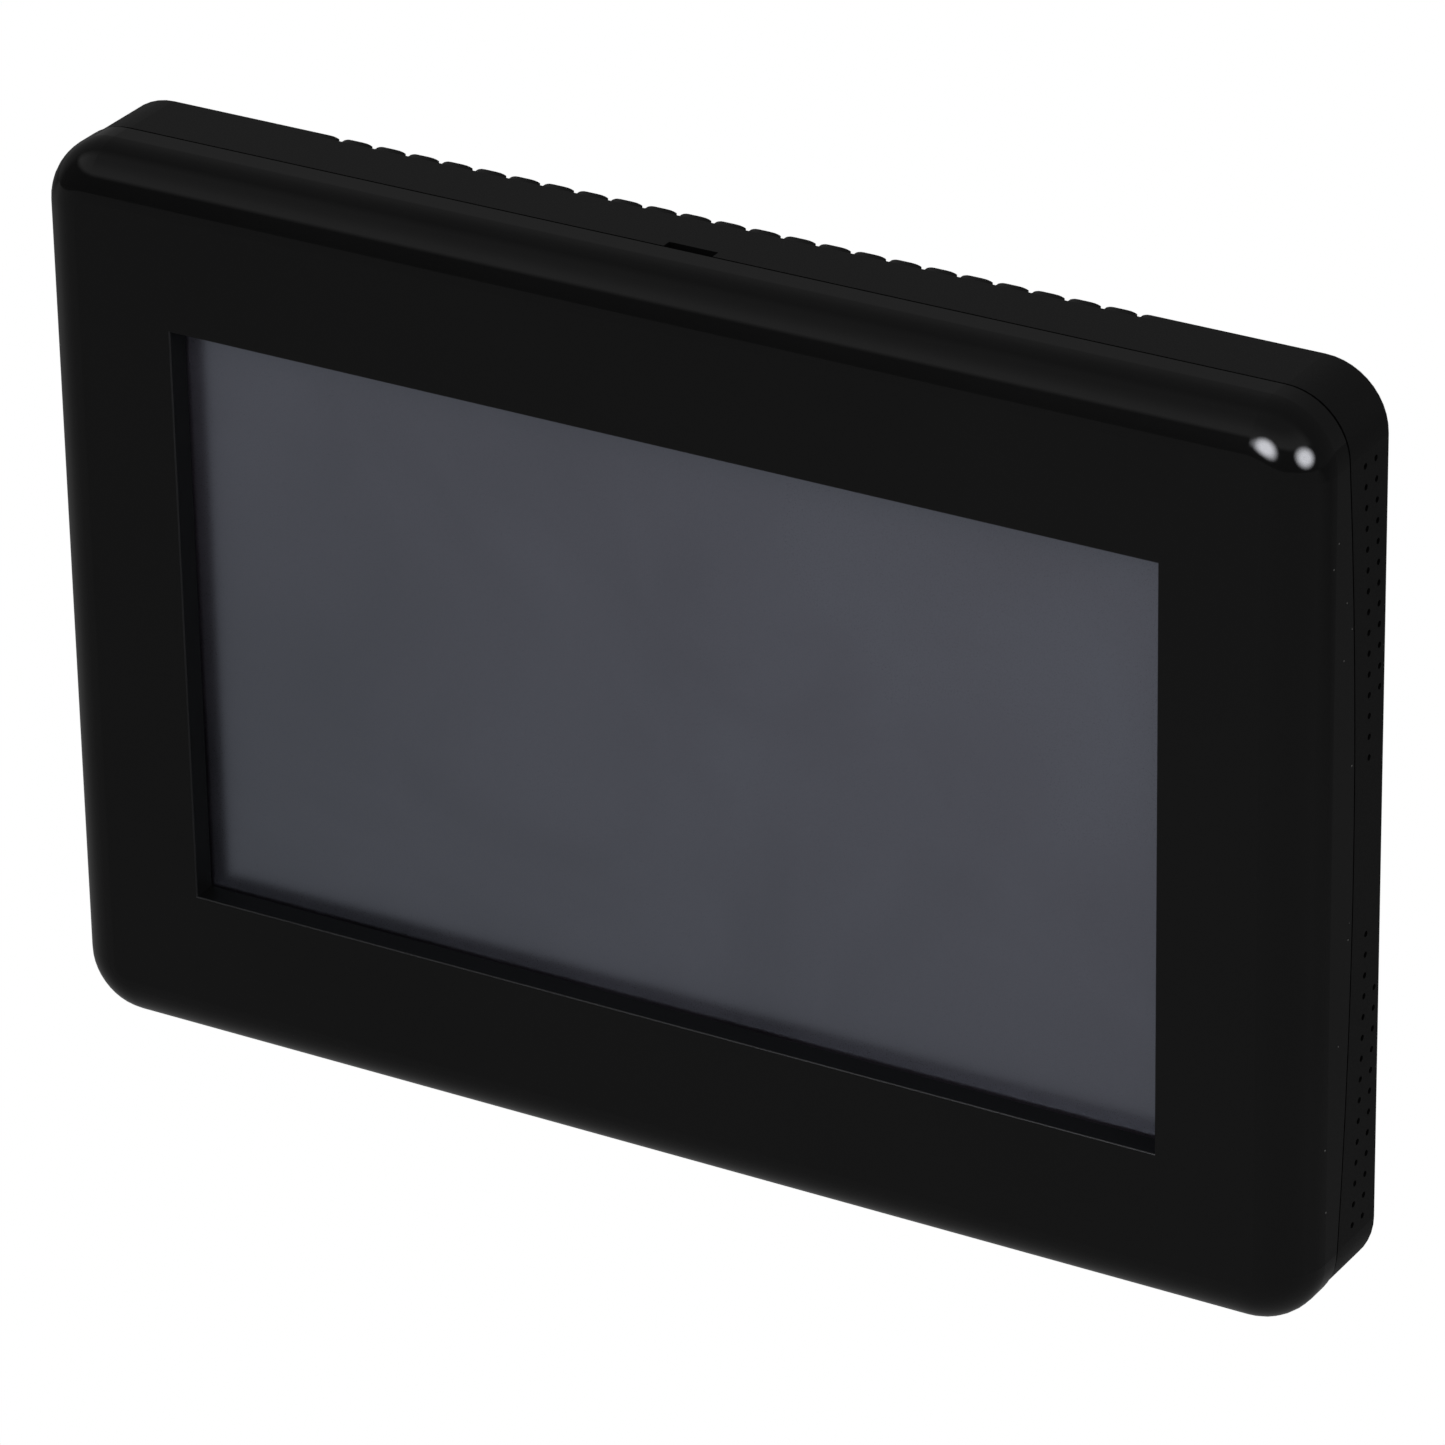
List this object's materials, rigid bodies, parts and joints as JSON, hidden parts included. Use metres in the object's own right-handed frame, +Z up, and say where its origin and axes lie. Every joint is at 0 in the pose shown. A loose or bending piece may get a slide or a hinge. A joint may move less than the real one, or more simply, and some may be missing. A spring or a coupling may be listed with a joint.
{
  "type": "alarm keypad panel",
  "caption": "Wall-mounted security keypad with a wide touch display in a gloss black bezel, hinged along its lower edge to a perforated satin rear case with a release latch.",
  "frame": {"origin": "in the wall plane, at the centre of the four wall screw slots", "axes": "+X along the width to the right as seen from the front, +Z up, +Y into the wall; the display faces -Y"},
  "size_m": [0.198, 0.0224, 0.1354],
  "materials": {
    "satin_case": "satin black, fine texture",
    "gloss_bezel": "high-gloss black",
    "steel_pin": "bright drawn",
    "guide_plastic": "moulded black",
    "spring_steel": "bright wire",
    "foam": "black foam",
    "touch_film": "anti-glare film over dark glass",
    "lcd_metal": "pressed steel",
    "display_glass": "dark display glass",
    "guide_clear": "clear acrylic",
    "flex_film": "amber polyimide",
    "board": "green solder mask",
    "screw_steel": "zinc plated",
    "socket_plastic": "ivory nylon",
    "chip_black": "moulded epoxy",
    "shield_tin": "tinned steel",
    "ferrite": "grey ferrite",
    "chip_ceramic": "ceramic body with tinned ends",
    "can_aluminium": "sleeved can",
    "header_plastic": "black housing with gold pins",
    "terminal_green": "green nylon",
    "clamp_steel": "nickel plated",
    "switch_black": "moulded",
    "plunger_white": "natural acetal",
    "speaker_steel": "black pressed frame",
    "magnet": "nickel coated",
    "cone_paper": "black paper",
    "buzzer_black": "moulded"
  },
  "bodies": {
    "wall_case": {"rear_case": "satin_case", "hinge_pins": "steel_pin", "latch_guide": "guide_plastic", "latch_spring": "spring_steel"},
    "front": {"front_bezel": "gloss_bezel", "window_gasket": "foam", "touch_panel": "touch_film", "lcd_frame": "lcd_metal", "lcd_glass": "display_glass", "light_guide": "guide_clear", "backlight_tray": "lcd_metal", "lcd_flex": "flex_film", "touch_flex": "flex_film", "main_board": "board", "board_screws": "screw_steel", "ribbon_sockets": "socket_plastic", "processor": "chip_black", "flash_memory": "chip_black", "memory_chips": "chip_black", "radio_shield": "shield_tin", "regulators": "chip_black", "inductors": "ferrite", "chip_resistors": "chip_ceramic", "chip_capacitors": "chip_ceramic", "crystal": "shield_tin", "electrolytics": "can_aluminium", "service_header": "header_plastic", "terminal_block": "terminal_green", "tamper_switch": "switch_black", "speaker_frame": "speaker_steel", "speaker_magnet": "magnet", "buzzer": "buzzer_black"},
    "latch": {"release_latch": "guide_plastic"},
    "tamper": {"tamper_plunger": "plunger_white"},
    "cone": {"speaker_cone": "cone_paper"},
    "clamp_screw_1": {"terminal_screw_1": "clamp_steel"},
    "clamp_screw_2": {"terminal_screw_2": "clamp_steel"},
    "clamp_screw_3": {"terminal_screw_3": "clamp_steel"},
    "clamp_screw_4": {"terminal_screw_4": "clamp_steel"}
  },
  "joints": [
    {"name": "front_open", "type": "hinge", "parent": "wall_case", "child": "front", "pos_m": [0, -0.01155, -0.0662], "axis": [1, 0, 0], "range_deg": [0, 60]},
    {"name": "latch_press", "type": "slide", "parent": "wall_case", "child": "latch", "axis": [0, 0, -1], "range_m": [0, 0.0014], "stiffness_N_per_m": 400, "springref_m": -0.002, "deforming": ["latch_spring"]},
    {"name": "tamper_press", "type": "slide", "parent": "front", "child": "tamper", "axis": [0, -1, 0], "range_m": [0, 0.0012], "stiffness_N_per_m": 300, "springref_m": -0.001},
    {"name": "cone_move", "type": "slide", "parent": "front", "child": "cone", "axis": [0, 1, 0], "range_m": [-0.0004, 0.0004], "stiffness_N_per_m": 1500},
    {"name": "clamp_turn_1", "type": "hinge", "parent": "front", "child": "clamp_screw_1", "pos_m": [-0.00762, -0.0094, -0.039], "axis": [0, 1, 0], "range_deg": [-360, 360]},
    {"name": "clamp_turn_2", "type": "hinge", "parent": "front", "child": "clamp_screw_2", "pos_m": [-0.00254, -0.0094, -0.039], "axis": [0, 1, 0], "range_deg": [-360, 360]},
    {"name": "clamp_turn_3", "type": "hinge", "parent": "front", "child": "clamp_screw_3", "pos_m": [0.00254, -0.0094, -0.039], "axis": [0, 1, 0], "range_deg": [-360, 360]},
    {"name": "clamp_turn_4", "type": "hinge", "parent": "front", "child": "clamp_screw_4", "pos_m": [0.00762, -0.0094, -0.039], "axis": [0, 1, 0], "range_deg": [-360, 360]}
  ]
}
